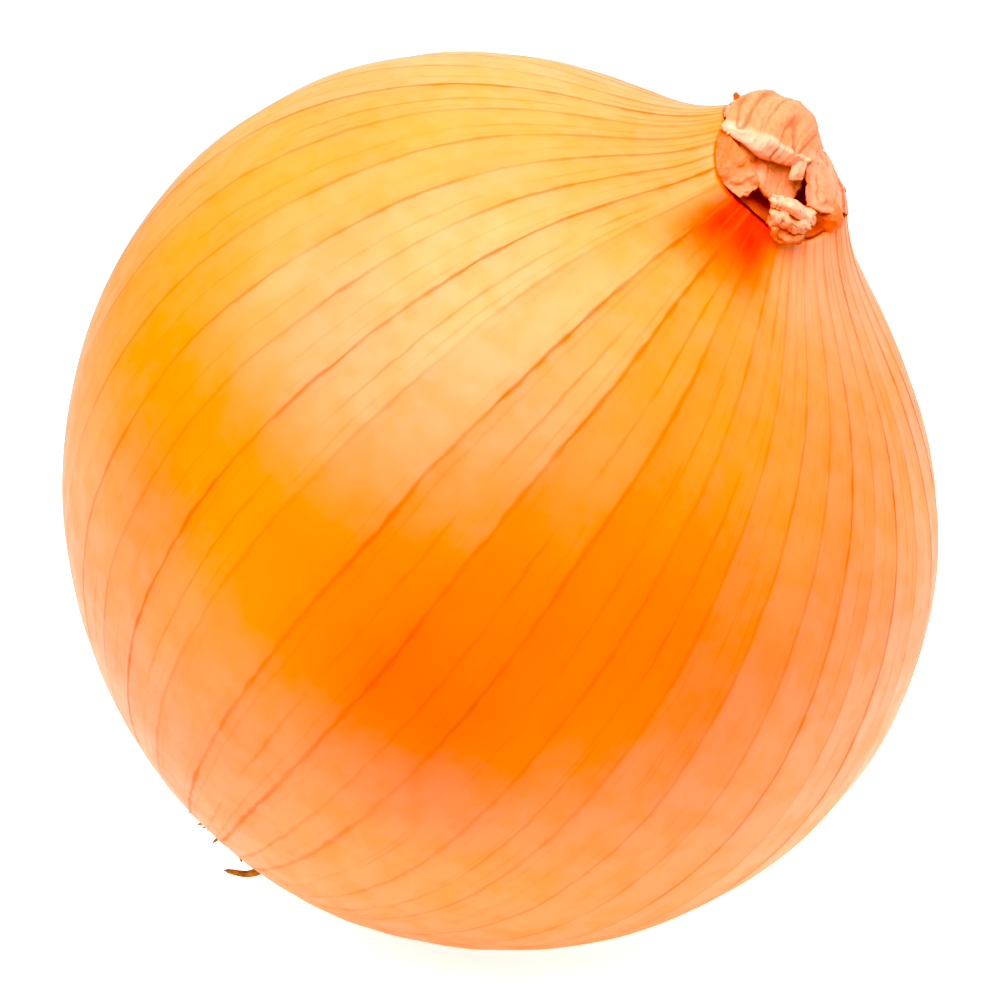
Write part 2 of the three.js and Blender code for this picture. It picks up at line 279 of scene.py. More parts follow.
class Graph:
    """Short forms for adding and joining the nodes of one tree."""

    def __init__(self, tree):
        self.tree = tree

    def put(self, socket, value):
        if isinstance(value, bpy.types.NodeSocket):
            self.tree.links.new(value, socket)
        elif value is not None:
            socket.default_value = value

    def add(self, kind, inputs=(), **settings):
        node = self.tree.nodes.new(kind)
        for key, value in settings.items():
            setattr(node, key, value)
        for key, value in dict(inputs).items():
            self.put(node.inputs[key], value)
        return node

    def math(self, operation, a, b=None, c=None, clamp=False):
        node = self.add("ShaderNodeMath", operation=operation, use_clamp=clamp)
        for socket, value in zip(node.inputs, (a, b, c)):
            self.put(socket, value)
        return node.outputs[0]

    def times(self, a, b):
        return self.math("MULTIPLY", a, b)

    def times_plus(self, a, b, c, clamp=False):
        return self.math("MULTIPLY_ADD", a, b, c, clamp)

    def smooth(self, value, low, high, start=0.0, end=1.0):
        inputs = {"Value": value, "From Min": low, "From Max": high, "To Min": start, "To Max": end}
        return self.add("ShaderNodeMapRange", inputs, interpolation_type="SMOOTHSTEP").outputs[0]

    def noise(self, vector, scale, detail=2.0, roughness=0.5, output="Fac"):
        inputs = {"Vector": vector, "Scale": scale, "Detail": detail, "Roughness": roughness}
        return self.add("ShaderNodeTexNoise", inputs).outputs[output]

    def vector(self, x, y, z=0.0):
        return self.add("ShaderNodeCombineXYZ", {"X": x, "Y": y, "Z": z}).outputs[0]

    def vector_value(self, operation, a, b):
        """One number from two vectors, such as the distance between them."""
        return self.add("ShaderNodeVectorMath", {0: a, 1: b}, operation=operation).outputs["Value"]

    def object_place(self):
        return self.add("ShaderNodeTexCoord").outputs["Object"]

    def leaf_place(self):
        """The UV map that follows a leaf, across and along it."""
        leaf = self.add("ShaderNodeUVMap", uv_map="leaf").outputs[0]
        parts = self.add("ShaderNodeSeparateXYZ", {"Vector": leaf}).outputs
        return parts["X"], parts["Y"]

    def mix(self, factor, a, b):
        """A colour between two, each a socket or three numbers."""
        node = self.add("ShaderNodeMix", {"Factor": factor}, data_type="RGBA")
        for socket, shade in zip(node.inputs[6:8], (a, b)):
            self.put(socket, shade if isinstance(shade, bpy.types.NodeSocket) else (*shade, 1.0))
        return node.outputs[2]

    def effect(self, group, inputs):
        return self.add("ShaderNodeGroup", inputs, node_tree=group).outputs

    def bump(self, shader, height, strength, distance):
        node = self.add("ShaderNodeBump", {"Strength": strength, "Distance": distance, "Height": height})
        self.put(shader.inputs["Normal"], node.outputs[0])


def effect_group(name, defaults, outputs):
    """A new shader node group with number outputs. An input without a default is a vector."""
    tree = bpy.data.node_groups.new(name, "ShaderNodeTree")
    for label, default in defaults.items():
        kind = "NodeSocketVector" if default is None else "NodeSocketFloat"
        socket = tree.interface.new_socket(label, in_out="INPUT", socket_type=kind)
        if default is not None:
            socket.default_value = default
    for label in outputs:
        tree.interface.new_socket(label, in_out="OUTPUT", socket_type="NodeSocketFloat")
    graph = Graph(tree)
    return tree, graph, graph.add("NodeGroupInput").outputs, graph.add("NodeGroupOutput").inputs


def vein_group():
    """Thin lines at every whole rib number, each with its own strength, width and fading."""
    defaults = {"Rib": 0.0, "Along": 0.0, "Pitch": 6.0, "Width": 0.25}
    defaults.update({"Weakest": 0.3, "Fading": 0.5, "Seed": 0.0})
    tree, graph, given, result = effect_group("Skin Veins", defaults, ["Line", "Glow"])
    along = given["Along"]
    number = graph.math("ROUND", given["Rib"])
    ribs_away = graph.math("ABSOLUTE", graph.math("SUBTRACT", given["Rib"], number))
    distance = graph.times(ribs_away, given["Pitch"])
    swirl = graph.math("SINE", graph.times_plus(number, VEIN_CHANCE_STEP, given["Seed"]))
    chance = graph.math("FRACT", graph.times(swirl, VEIN_CHANCE_SCALE))
    strength = graph.smooth(chance, 0.0, 1.0, given["Weakest"], 1.0)
    lane = graph.times_plus(number, VEIN_LANE_STEP, given["Seed"])
    patches = graph.noise(graph.vector(graph.times(along, 9.0), lane), 1.6, 1.0)
    fade = graph.smooth(patches, 0.32, 0.6, graph.math("SUBTRACT", 1.0, given["Fading"]), 1.0)
    swelling = graph.noise(graph.vector(graph.times(along, 60.0), lane), 1.0, 0.0)
    width = graph.times(given["Width"], graph.smooth(swelling, 0.3, 0.7, 0.65, 1.3))
    line = graph.smooth(distance, 0.0, width, 1.0, 0.0)
    glow = graph.smooth(distance, 0.0, graph.times(width, VEIN_GLOW_WIDTH), 1.0, 0.0)
    power = graph.times(strength, fade)
    graph.put(result["Line"], graph.times(line, power))
    graph.put(result["Glow"], graph.times(glow, power))
    return tree


def fibre_group():
    """Long streaks that run along a leaf, and the small ridges that go with them."""
    defaults = {"Across": 0.0, "Along": 0.0, "Count": 40.0, "Seed": 0.0}
    tree, graph, given, result = effect_group("Leaf Fibres", defaults, ["Streak", "Ridge"])
    along, seed = given["Along"], given["Seed"]
    across = graph.times(given["Across"], given["Count"])
    bent = graph.noise(graph.vector(given["Across"], along, seed), 5.0, 1.0)
    across = graph.times_plus(bent, 1.5, across)
    wide = graph.noise(graph.vector(across, along, seed), 0.35, 3.0, 0.6)
    narrow = graph.noise(graph.vector(graph.times(across, 2.7), along, seed), 0.7, 2.0)
    graph.put(result["Streak"], graph.times_plus(narrow, 0.4, graph.times(wide, 0.6)))
    graph.put(result["Ridge"], graph.smooth(wide, 0.35, 0.65))
    return tree


def mottle_group():
    """Soft patches in two sizes, from 0 to 1."""
    defaults = {"Vector": None, "Size": 0.02}
    tree, graph, given, result = effect_group("Soft Mottle", defaults, ["Value", "Fine"])
    scale = graph.math("DIVIDE", 1.0, given["Size"])
    large = graph.noise(given["Vector"], scale, 2.0, 0.55)
    small = graph.noise(given["Vector"], graph.times(scale, 7.0), 2.0, 0.6)
    graph.put(result["Value"], graph.smooth(large, 0.3, 0.7))
    graph.put(result["Fine"], graph.smooth(small, 0.3, 0.7))
    return tree


def new_material(name, base, roughness, uniform=()):
    """A material, its graph and its Principled shader, with uniform values on the shader's own sockets."""
    material = bpy.data.materials.new(name)
    material.use_nodes = True
    shader = material.node_tree.nodes["Principled BSDF"]
    values = {"Base Color": (*base, 1.0), "Roughness": roughness, **dict(uniform)}
    for label, value in values.items():
        shader.inputs[label].default_value = value
    return material, Graph(material.node_tree), shader


# ---- properties


def measure(name, description, default, unit="LENGTH"):
    return bpy.props.FloatProperty(
        name=name, description=description, default=default, unit=unit, precision=5
    )


def tint(name, description, default):
    return bpy.props.FloatVectorProperty(
        name=name, description=description, default=default, size=3, subtype="COLOR"
    )


class OnionShape(bpy.types.PropertyGroup):
    lean: measure("Lean", "How far the onion's axis leans from upright", math.radians(38.0), "ROTATION")
    centre_height: measure("Centre Height", "Height of the bulb's centre", 0.03875)
    rib_height: measure("Rib Height", "How far the veins lift the skin", 0.00010)
    dent_depth: measure("Dent Depth", "Soft unevenness of the whole bulb", 0.00013)
    paper_thickness: measure("Paper Thickness", "Thickness of the dry sheets round the neck", 0.00022)
    rootlets: bpy.props.IntProperty(name="Rootlets", description="Number of dry roots", default=170, min=1)


class OnionColours(bpy.types.PropertyGroup):
    skin: tint("Skin", "Orange of the bulb's skin", (0.92, 0.143, 0.0))
    # The golden skin is the mottle's own yellower tone, and also painted light in the yellower patches.
    skin_gold_and_painted_light: tint("Golden Skin", "Yellower patches of the skin", (0.93, 0.215, 0.002))
    # The deep skin is painted shade, in the deeper orange patches.
    skin_painted_shade: tint("Deep Skin", "Deeper orange patches of the skin", (0.92, 0.103, 0.0))
    # Painted shade: the skin under the neck's front folds is coloured redder to stand for its shade.
    skin_painted_neck_shade: tint("Red Skin", "Redder skin between the neck's folds", (0.88, 0.015, 0.0))
    # Painted highlight: paler skin beside the neck on its right stands for the sheen there.
    skin_painted_highlight: tint("Pale Skin", "Drier skin beside the neck", (0.95, 0.26, 0.14))
    vein: tint("Vein", "Fine lines that run from neck to root", (0.70, 0.066, 0.0))
    paper: tint("Paper", "Dry sheets of the neck", (0.85, 0.175, 0.060))
    paper_amber: tint("Amber Paper", "Orange parts of the dry sheets", (0.90, 0.085, 0.004))
    # The pale paper is bleached edges, and also painted light on the crown's lower edge and in the hollow
    # sheet.
    paper_pale_and_painted_light: tint("Pale Paper", "Bleached edges of the dry sheets", (0.88, 0.35, 0.23))
    # The deep paper is the red-brown of torn edges, and also painted shade in the gaps and the crinkles'
    # dips.
    paper_brown_and_painted_shade: tint("Deep Paper", "Red-brown of the gaps and torn edges", (0.48, 0.038, 0.0))
    root: tint("Root", "Dry roots", (0.46, 0.20, 0.09))
    root_cork: tint("Cork", "Corky plate that the roots grow from", (0.24, 0.09, 0.035))


class OnionStage(bpy.types.PropertyGroup):
    distance: measure("Camera Distance", "From the bulb's centre", 0.70)
    elevation: measure("Camera Elevation", "Angle above the floor", math.radians(22.0), "ROTATION")
    lens: measure("Lens", "Focal length in millimetres", 286.0, "NONE")
    softbox_size: measure("Softbox Size", "Longer side of the light overhead", 1.12)
    softbox_power: measure("Softbox Power", "Power of the light overhead", 20.2, "POWER")
    floor_glow: measure("Floor Glow", "Light that the pale floor gives under the onion", 0.88, "NONE")
    floor_front: measure("Floor Front", "How far the floor reaches towards the camera", 0.066)
    floor_size: measure("Floor Size", "Half the side of the pale floor", 3.0)


# ---- bulb


SKIN_COLUMNS_IN_A_RIB = (0.0, 0.06, 0.15, 0.3, 0.5, 0.7, 0.85, 0.94)
SKIN_ROWS = 268
DISH_ROWS = 12
ROW_CROWDING = 0.3

# Where along the ribs their relief grows and fades, in degrees, and the skin's dents as (lump size, share).
RELIEF_GROWS = (30.0, 110.0)
RELIEF_FADES = (135.0, 162.0)
DENTS = ((17.0, 1.0), (7.0, 0.5))

# The skin is satin, and its shine is a soft coat that is thinner on the veins and on the painted red shade
# under the neck.
SKIN_COAT = {"Specular IOR Level": 0.0, "Coat Roughness": 0.46, "Coat IOR": 1.70}
SKIN_ROUGHNESS = 0.40
SKIN_ROUGHNESS_SWING = 0.12
COAT_WEIGHT = 0.75
COAT_WEIGHT_SWING = 0.3
COAT_LOST = -0.75

# Patches of painted light in yellower skin and of painted shade in deeper orange, as (centre, reach,
# strength, colour) in metres.
LIGHT_AND_SHADE_PATCHES = (
    ((-0.0211, -0.0306, 0.0492), 0.022, 0.9, "skin_gold_and_painted_light"),
    ((-0.0010, -0.0345, 0.0215), 0.028, 0.9, "skin_gold_and_painted_light"),
    ((-0.0300, -0.0189, 0.0539), 0.011, 0.8, "skin_painted_shade"),
    ((-0.0017, -0.0385, 0.0385), 0.0165, 0.8, "skin_painted_shade"),
)
PATCH_UNEVENNESS = (0.012, 0.012, 0.012)
PATCH_LUMPS = 45.0
MOTTLE_SIZE = 0.022
MOTTLE_SHARE = 0.4

# Painted shade in red on the skin under the neck's front folds, and a painted highlight in paler skin on its
# right: which ribs, and how far along.
NECK_SHADE_RIB = 8.1
NECK_SHADE_WIDTH = (0.8, 2.5)
NECK_SHADE_ALONG = (0.81, 0.90)
HIGHLIGHT_RIBS_FROM = (9.6, 11.4)
HIGHLIGHT_RIBS_TO = (33.0, 38.0)
HIGHLIGHT_ALONG = (0.80, 0.92)
HIGHLIGHT_SHARE = 0.5

# Three sets of veins: on the ribs, between them, and thin ones. Their lines wander by shares of a rib.
RIB_PITCH = 6.3
WANDER = ((60.0, 0.16), (420.0, 0.06))
WANDER_MIDDLE = 0.11
MAIN_VEINS = {"Width": 0.30, "Weakest": 0.35, "Fading": 0.5, "Seed": 3.0}
MINOR_VEINS = {"Width": 0.24, "Weakest": 0.0, "Fading": 1.0, "Seed": 11.0}
MINOR_SHIFT = 0.43
MINOR_STRENGTH = 0.45
THIN_VEINS = {"Width": 0.18, "Weakest": 0.0, "Fading": 1.0, "Seed": 23.0}
THIN_IN_A_RIB = 3.0
THIN_SHIFT = 0.5
THIN_STRENGTH = 0.25
GLOW_STRENGTH = 0.2


def rib_relief(rib, from_root):
    """The veins' height as a share of its greatest, which is a little above the bulb's middle."""
    growing = 0.35 + 0.65 * smoothstep(from_root, *RELIEF_GROWS) - 0.6 * smoothstep(from_root, *RELIEF_FADES)
    crest = 0.5 + 0.5 * cosine(360.0 * rib)
    return growing * (0.7 * crest**2 + 0.3 * crest**12)


def skin_mesh(shape):
    per_rib = len(SKIN_COLUMNS_IN_A_RIB)
    rows = SKIN_ROWS + DISH_ROWS
    mesh, upward, turn = ball_mesh("bulb_skin", RIBS * per_rib, rows)
    column = np.round(turn * RIBS * per_rib).astype(int)
    rib = column // per_rib + np.array(SKIN_COLUMNS_IN_A_RIB)[column % per_rib]
    share = clamped(upward * rows / SKIN_ROWS)
    eased = share - ROW_CROWDING * np.sin(2.0 * math.pi * share) / (2.0 * math.pi)
    from_root = eased * collar_angle(rib_azimuth(rib, NECK_RISE_ANGLE))
    azimuth = rib_azimuth(rib, from_root)
    relief = rib_relief(rib, from_root) * shape.rib_height / MM
    even = skin_point(from_root, azimuth)
    dents = sum(share * noise_at(even, size, 1.0 + order) for order, (size, share) in enumerate(DENTS))
    places = skin_point(from_root, azimuth, relief + dents * shape.dent_depth / MM)
    inward = clamped((upward * rows - SKIN_ROWS) / DISH_ROWS)[:, None]
    places = places * (1.0 - inward) + np.array([0.0, 0.0, DISH_HEIGHT]) * inward
    places = lying(places, shape)
    places[:, 2] = np.maximum(places[:, 2], 0.0)
    set_vertices(mesh, places)
    along = from_root / 180.0
    along = along + (1.0 - along) * inward[:, 0]
    lay_uv(mesh, rib, along, turn_length=RIBS)
    return mesh


def skin_base(graph, colours, here, mottle):
    """The skin's colour with its soft mottle and its patches of painted light and shade."""
    base = graph.mix(graph.times(mottle["Value"], MOTTLE_SHARE), colours.skin, colours.skin_gold_and_painted_light)
    uneven = graph.noise(here, PATCH_LUMPS, 1.0, output="Color")
    shift = {0: uneven, 1: PATCH_UNEVENNESS, 2: here}
    blurred = graph.add("ShaderNodeVectorMath", shift, operation="MULTIPLY_ADD")
    # Each patch paints light in yellower skin or shade in deeper orange.
    for centre, reach, strength, name in LIGHT_AND_SHADE_PATCHES:
        away = graph.vector_value("DISTANCE", blurred.outputs[0], centre)
        base = graph.mix(graph.smooth(away, 0.0, reach, strength, 0.0), base, getattr(colours, name))
    return base


def skin_veins(graph, group, here, rib, along):
    """The three sets of veins: their lines in one, the main lines alone, and the glow beside those."""
    pitch = graph.times(graph.math("SINE", graph.times(along, math.pi)), RIB_PITCH)
    (broad, broad_size), (fine, fine_size) = WANDER
    bent = graph.times_plus(graph.noise(here, broad, 1.0), broad_size, rib)
    bent = graph.math("SUBTRACT", bent, WANDER_MIDDLE)
    bent = graph.times_plus(graph.noise(here, fine, 1.0), fine_size, bent)
    between = graph.math("ADD", bent, MINOR_SHIFT)
    crowded = graph.times_plus(bent, THIN_IN_A_RIB, THIN_SHIFT)
    thin_pitch = graph.math("DIVIDE", pitch, THIN_IN_A_RIB)
    sets = ((bent, pitch, MAIN_VEINS), (between, pitch, MINOR_VEINS), (crowded, thin_pitch, THIN_VEINS))
    main, minor, thin = (
        graph.effect(group, {"Rib": number, "Along": along, "Pitch": apart, **values})
        for number, apart, values in sets
    )
    lines = graph.math("ADD", main["Line"], graph.times(minor["Line"], MINOR_STRENGTH), clamp=True)
    lines = graph.math("ADD", lines, graph.times(thin["Line"], THIN_STRENGTH), clamp=True)
    lines = graph.times(lines, graph.smooth(along, 0.3, 0.85, 0.75, 1.0))
    return lines, main["Line"], graph.times(main["Glow"], GLOW_STRENGTH)


def skin_material(colours, groups):
    material, graph, shader = new_material("Onion Skin", colours.skin, SKIN_ROUGHNESS, SKIN_COAT)
    here = graph.object_place()
    rib, along = graph.leaf_place()
    mottle = graph.effect(groups["mottle"], {"Vector": here, "Size": MOTTLE_SIZE})
    base = skin_base(graph, colours, here, mottle)
    # Painted shade: redder skin under the neck's front folds, where the coat is also thinner.
    beside = graph.math("ABSOLUTE", graph.math("SUBTRACT", rib, NECK_SHADE_RIB))
    red = graph.times(graph.smooth(beside, *NECK_SHADE_WIDTH, 1.0, 0.0), graph.smooth(along, *NECK_SHADE_ALONG))
    base = graph.mix(red, base, colours.skin_painted_neck_shade)
    # Painted highlight: paler skin on the neck's right, carried by the mask named dry.
    highlight_from = graph.smooth(rib, *HIGHLIGHT_RIBS_FROM, 0.0, HIGHLIGHT_SHARE)
    highlight_side = graph.times(highlight_from, graph.smooth(rib, *HIGHLIGHT_RIBS_TO, 1.0, 0.0))
    dry = graph.times(highlight_side, graph.smooth(along, *HIGHLIGHT_ALONG))
    base = graph.mix(dry, base, colours.skin_painted_highlight)
    lines, main_lines, glow = skin_veins(graph, groups["veins"], here, rib, along)
    base = graph.mix(glow, base, colours.vein)
    base = graph.mix(lines, base, colours.vein)
    graph.put(shader.inputs["Base Color"], base)
    rough = graph.times_plus(mottle["Fine"], SKIN_ROUGHNESS_SWING, SKIN_ROUGHNESS)
    graph.put(shader.inputs["Roughness"], rough)
    coat = graph.times_plus(mottle["Fine"], COAT_WEIGHT_SWING, COAT_WEIGHT)
    coat = graph.times_plus(red, COAT_LOST, coat)
    coat = graph.times_plus(lines, COAT_LOST, coat, clamp=True)
    graph.put(shader.inputs["Coat Weight"], coat)
    height = graph.times_plus(main_lines, 0.2, graph.times(mottle["Fine"], 0.12))
    graph.bump(shader, height, 0.35, 0.0001)
    return material


# ---- neck


NECK_TURN = 17.0
NECK_HEIGHT = 3.4
NECK_LOW_SIDE_HEIGHT = 0.1
NECK_HIGH_SIDE_HEIGHT = 1.8
NECK_RIM = 0.5
NECK_RIM_SWING = 0.35
NECK_RIM_HIGH_SIDE = 100.0
SEAT_GAP = 0.3
NECK_INSET = 0.35
NECK_TAPER = 0.7
NECK_FLOOR = 0.6

# The core's crumples, as (height, cycles round, phase), and the big fold that droops over its front.
NECK_CRUMPLES = ((0.22, 3.0, 40.0), (0.14, 8.0, 15.0))
FOLD_HIGH_SIDE = (3.0, 7.5)
FOLD_LOW_SIDE = (-2.0, 3.0)
FOLD_DROOP = 0.5
FOLD_DROOP_RANGE = (-2.5, 4.4)
FOLD_EDGE = 4.2
FOLD_EDGE_GROWTH = 1.6
FOLD_EDGE_RANGE = (1.2, 3.2)
FOLD_EDGE_SOFTNESS = 0.9
FOLD_LEAN = 0.2

# Dry sheets at the front, from guide points given as (across, along, out) in millimetres. Each row of guides
# runs along the sheet's width, and the rows follow each other down its length.
CROWN = (
    ((-5.4, 38.2, 4.5), (-3.4, 38.8, 4.0), (-1.0, 39.0, 4.0), (1.8, 38.6, 4.5)),
    ((-5.6, 40.6, 6.5), (-3.6, 41.8, 6.0), (-1.0, 42.0, 6.0), (2.0, 40.8, 6.3)),
    ((-5.5, 41.8, 9.5), (-3.5, 43.0, 9.3), (-1.0, 43.1, 9.2), (2.0, 41.5, 9.2)),
    ((-6.4, 40.7, 13.0), (-4.3, 42.0, 12.9), (-1.2, 42.3, 12.6), (2.2, 41.2, 12.0)),
    ((-6.8, 39.1, 15.5), (-4.2, 40.2, 15.9), (-1.2, 40.6, 15.5), (2.1, 40.2, 14.2)),
    ((-6.4, 37.7, 17.0), (-3.7, 38.5, 17.5), (-0.8, 39.3, 16.9), (1.8, 39.9, 15.4)),
    ((-6.4, 37.2, 17.8), (-3.7, 37.9, 18.4), (-0.6, 38.8, 17.8), (1.7, 39.6, 16.2)),
    ((-6.0, 36.5, 18.0), (-3.4, 36.9, 18.5), (-0.8, 37.4, 17.9), (1.5, 38.5, 16.5)),
    ((-5.6, 36.7, 17.2), (-3.1, 37.0, 17.5), (-0.6, 37.6, 16.9), (1.4, 38.8, 15.7)),
)
HOLLOW = (
    ((-5.3, 37.3, 16.8), (-2.8, 37.8, 16.8), (-0.4, 38.4, 16.4), (2.3, 39.2, 15.0)),
    ((-4.4, 36.3, 17.9), (-2.0, 36.5, 17.4), (0.0, 36.9, 16.9), (2.6, 37.7, 15.4)),
    ((-3.6, 35.2, 18.9), (-1.2, 34.9, 19.6), (0.8, 34.8, 19.4), (2.8, 35.8, 17.0)),
)
LEFT_FLAP = (
    ((-6.1, 37.1, 17.6), (-4.6, 36.6, 18.4), (-3.0, 36.3, 19.4), (-1.5, 35.7, 20.1), (-0.2, 35.0, 20.3)),
    ((-5.9, 36.1, 17.9), (-4.7, 35.3, 18.8), (-3.4, 34.8, 19.8), (-2.0, 34.3, 20.5), (-0.4, 33.9, 20.9)),
    ((-5.5, 35.2, 18.0), (-4.7, 34.2, 19.1), (-3.8, 33.4, 19.8), (-2.6, 33.0, 20.3), (-0.9, 33.0, 20.8)),
)
RIGHT_FLAP = (
    ((0.4, 40.2, 15.2), (1.5, 41.0, 13.2), (2.1, 41.4, 10.5), (1.9, 41.0, 8.0), (1.4, 39.0, 5.5)),
    ((1.7, 38.9, 16.1), (3.0, 39.9, 14.0), (3.9, 40.5, 11.3), (4.0, 40.4, 8.5), (3.7, 38.9, 5.8)),
    ((2.7, 37.6, 16.9), (4.4, 38.6, 15.0), (5.4, 39.6, 12.3), (5.9, 39.5, 9.3), (5.7, 38.4, 6.8)),
    ((3.9, 36.3, 17.7), (5.6, 37.0, 16.1), (6.8, 38.1, 13.8), (7.2, 38.4, 11.2), (7.1, 37.6, 8.8)),
)
TAB = (
    ((0.4, 38.7, 16.7), (0.9, 39.1, 16.6), (1.5, 39.5, 16.3)),
    ((0.9, 37.5, 17.5), (1.4, 38.0, 17.4), (2.0, 38.4, 17.1)),
    ((1.2, 36.9, 17.5), (1.7, 37.3, 17.4), (2.2, 37.8, 17.2)),
)
TIP = (
    ((-6.5, 39.4, 10.4), (-6.2, 39.8, 10.6), (-5.9, 40.1, 10.8)),
    ((-6.9, 39.7, 9.9), (-6.7, 40.0, 10.0), (-6.5, 40.2, 10.2)),
    ((-7.3, 40.0, 9.4), (-7.1, 40.2, 9.5), (-7.0, 40.3, 9.6)),
)
KNOB_PLACE = (6.0, 36.7, 14.3)
KNOB_SIZE = (1.3, 1.45, 1.2)
KNOB_TONES = (0.0, 0.1, 0.6)
CORE_FOOT = 0.2

# Dry sheets wrapped round the rest of the neck: azimuths from the front, levels up the neck, and how far out.
WRAPS = (
    (-175.0, -50.0, -0.05, 1.45, 0.25),
    (60.0, 185.0, -0.05, 1.5, 0.25),
    (120.0, 245.0, -0.1, 1.25, 0.5),
    (-140.0, -70.0, -0.1, 0.9, 0.4),
)
WRAP_TONES = (0.35, 0.05, 0.35)


def facing_point(across, along, out):
    """Points near the neck from their distance to the low side, along the onion and out to its front."""
    front = out * cosine(NECK_TURN) - along * sine(NECK_TURN)
    up = along * cosine(NECK_TURN) + out * sine(NECK_TURN)
    return neck_point(across, front, up)


def through(points, share):
    """A smooth curve at shares from 0 to 1 through points, which may be one list or a list for each share."""
    points = np.asarray(points, dtype=float)
    ends = np.concatenate([2.0 * points[:1] - points[1:2], points, 2.0 * points[-1:] - points[-2:-1]])
    place = clamped(share) * (len(points) - 1)
    start = np.minimum(place.astype(int), len(points) - 2)
    own = (np.arange(len(start)),) if points.ndim == 3 else ()
    a, b, c, d = (ends[(start + step, *own)] for step in range(4))
    t = (place - start)[:, None]
    bend = (2.0 * a - 5.0 * b + 4.0 * c - d) * t**2 + (3.0 * b - a - 3.0 * c + d) * t**3
    return 0.5 * (2.0 * b + (c - a) * t + bend)


def guided(guides, across, down):
    """Points of the smooth sheet through a grid of guide points."""
    return through(np.array([through(row, across) for row in guides]), down)


def neck_core_point(azimuth, level, lift=0.0):
    """Points of the crumpled core. Level runs from 0 at the collar, by 1 at the rim, to 2 in the middle."""
    collar = skin_point(collar_angle(azimuth), azimuth)
    radius = np.hypot(collar[..., 0], collar[..., 1])
    base = collar[..., 2] + SEAT_GAP
    crumple = sum(size * sine(cycles * azimuth + phase) for size, cycles, phase in NECK_CRUMPLES)
    rim = NECK_RIM + NECK_RIM_SWING * cosine(azimuth - NECK_RIM_HIGH_SIDE)
    wall = np.clip(level, -0.5, 1.0)
    share = clamped(2.0 - level)
    reach = radius - NECK_INSET - NECK_TAPER * clamped(wall) + crumple * wall
    reach = reach * share + lift * share**2
    low = reach * cosine(azimuth - FRONT - 90.0)
    front = reach * cosine(azimuth - FRONT)
    crest = NECK_HEIGHT + (NECK_HIGH_SIDE_HEIGHT - NECK_HEIGHT) * smoothstep(-low, *FOLD_HIGH_SIDE)
    crest = crest + (NECK_LOW_SIDE_HEIGHT - crest) * smoothstep(low, *FOLD_LOW_SIDE)
    droop = 1.0 - FOLD_DROOP * smoothstep(front, *FOLD_DROOP_RANGE)
    edge = FOLD_EDGE + FOLD_EDGE_GROWTH * smoothstep(low, *FOLD_EDGE_RANGE)
    step = 1.0 - smoothstep(front, edge - FOLD_EDGE_SOFTNESS, edge + FOLD_EDGE_SOFTNESS)
    fold = crest * droop * step * (1.0 - share**7)
    middle = DISH_HEIGHT + SEAT_GAP
    floor = base * share + middle * (1.0 - share) + NECK_FLOOR + (rim - NECK_FLOOR) * share**3
    up = np.where(level < 1.0, base + rim * wall, floor + fold) + lift * (1.0 - share**2)
    return neck_point(low, front + FOLD_LEAN * fold, up)


def moved_out(mesh, distance):
    places = vertex_array(mesh)
    normals = np.zeros(len(mesh.vertices) * 3)
    mesh.vertex_normals.foreach_get("vector", normals)
    set_vertices(mesh, places + normals.reshape(-1, 3) * distance[:, None])


def crinkled(mesh, sizes, seed):
    """Moves a mesh's points in and out by creased noise, given as (lump size, height) in millimetres."""
    places = vertex_array(mesh)
    shift = np.zeros(len(places))
    for order, (size, height) in enumerate(sizes):
        lumps = noise_at(places, size, seed + 4.0 * order)
        shift += height * (1.0 - 2.0 * np.sqrt(np.abs(lumps)))
    moved_out(mesh, shift)
    return shift


def fold_lines(across, down, count, seed):
    """Lines from 0 to 1 that run down a sheet, and the swell between them."""
    points = np.stack([across * count, down * 1.3, np.zeros_like(down)], axis=-1)
    swell = noise_at(points, 1.0, seed)
    lines = 1.0 - smoothstep(np.abs(swell), 0.0, 0.11)
    presence = smoothstep(noise_at(points * np.array([0.8, 2.0, 1.0]), 1.0, seed + 8.0), -0.35, 0.15)
    return lines * presence, swell


def thickened(mesh, thickness):
    """Gives a sheet its thickness, with the new side behind it, and leaves it closed."""
    bm = bmesh.new()
    bm.from_mesh(mesh)
    behind = {tuple(vert.co): vert.co - vert.normal * thickness for vert in bm.verts}
    grown = bmesh.ops.extrude_face_region(bm, geom=bm.faces[:], use_keep_orig=True)
    for part in grown["geom"]:
        if isinstance(part, bmesh.types.BMVert):
            part.co = behind[tuple(part.co)]
    bmesh.ops.recalc_face_normals(bm, faces=bm.faces[:])
    bm.to_mesh(mesh)
    bm.free()
    return mesh


def ragged(share, other, depth, seed):
    """Pulls the ends of a share from 0 to 1 inwards by uneven amounts that change along the other share."""
    points = np.stack([other * 7.0, np.full_like(other, seed), np.zeros_like(other)], axis=-1)
    tear = depth * (0.5 + 0.5 * noise_at(points, 1.0, seed) + 0.35 * noise_at(points, 0.3, seed + 2.0))
    return tear + (1.0 - tear[::-1] - tear) * share


